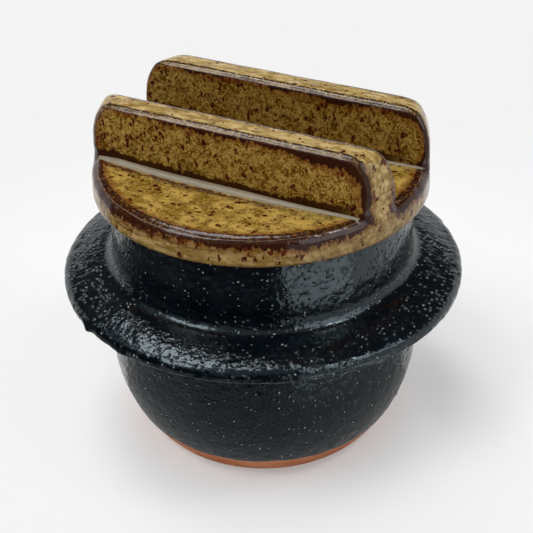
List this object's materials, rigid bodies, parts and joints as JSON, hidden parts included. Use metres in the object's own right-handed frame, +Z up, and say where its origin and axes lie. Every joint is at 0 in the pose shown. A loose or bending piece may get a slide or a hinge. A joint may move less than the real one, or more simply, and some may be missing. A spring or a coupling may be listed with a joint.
{
  "type": "lidded rice pot",
  "caption": "Brimmed stoneware rice pot with a rounded bowl, upright neck and bare clay foot, closed by a loose round lid that is lifted by parallel rails.",
  "frame": {"origin": "on the table under the middle of the foot", "axes": "+Z up along the axis of the pot, X along the lid's rails, -Y to the front"},
  "size_m": [0.145, 0.145, 0.1262],
  "materials": {
    "black_glaze": "glossy blue-black glaze, faintly lumpy, with pale specks",
    "ochre_glaze": "glossy ochre glaze that breaks to dark brown on the edges, with brown specks",
    "bare_clay": "matt unglazed terracotta with fine grain"
  },
  "bodies": {
    "pot": {"foot": "bare_clay", "bowl": "black_glaze", "brim": "black_glaze", "neck": "black_glaze"},
    "lid_ring": {"lid_ring": "bare_clay"},
    "lid": {"lid_plate": "ochre_glaze", "front_rail": "ochre_glaze", "back_rail": "ochre_glaze"}
  },
  "joints": [
    {"name": "lid_lift", "type": "slide", "parent": "pot", "child": "lid_ring", "axis": [0, 0, 1], "range_m": [0, 0.12]},
    {"name": "lid_turn", "type": "hinge", "parent": "lid_ring", "child": "lid", "pos_m": [0, 0, 0.096], "axis": [0, 0, 1], "continuous": true}
  ]
}
